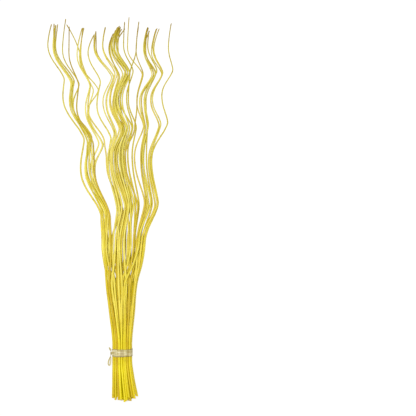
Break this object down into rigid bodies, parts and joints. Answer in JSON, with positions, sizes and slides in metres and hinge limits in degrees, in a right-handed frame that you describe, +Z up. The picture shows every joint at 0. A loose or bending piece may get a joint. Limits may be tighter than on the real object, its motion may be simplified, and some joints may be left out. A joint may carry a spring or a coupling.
{
  "type": "willow stem bunch",
  "caption": "Bunch of long yellow dyed willow stems, crimped into waves that fan out from a pale raffia tie near the cut ends, lying flat.",
  "frame": {"origin": "middle of the bunch's footprint, on the surface it lies on", "axes": "+Z up from the surface, +Y from the cut ends to the tips, +X to the right seen from above with the tips away"},
  "size_m": [0.2512, 0.7622, 0.0399],
  "materials": {
    "willow": "dyed and peeled, smooth, soft sheen",
    "raffia": "pale flat fibre, slightly glossy"
  },
  "bodies": {
    "root": {"stem_01": "willow", "stem_02": "willow", "stem_03": "willow", "stem_04": "willow", "stem_05": "willow", "stem_06": "willow", "stem_07": "willow", "stem_08": "willow", "stem_09": "willow", "stem_10": "willow", "stem_11": "willow", "stem_12": "willow", "stem_13": "willow", "stem_14": "willow", "stem_15": "willow", "stem_16": "willow", "stem_17": "willow", "stem_18": "willow", "stem_19": "willow", "stem_20": "willow", "stem_21": "willow", "stem_22": "willow", "stem_23": "willow", "stem_24": "willow", "stem_25": "willow", "stem_26": "willow", "stem_27": "willow", "stem_28": "willow", "stem_29": "willow", "stem_30": "willow", "stem_31": "willow", "stem_32": "willow", "stem_33": "willow", "stem_34": "willow", "stem_35": "willow", "stem_36": "willow", "stem_37": "willow", "stem_38": "willow", "stem_39": "willow", "stem_40": "willow", "stem_41": "willow", "stem_42": "willow", "stem_43": "willow", "stem_44": "willow", "tie": "raffia"}
  },
  "joints": []
}
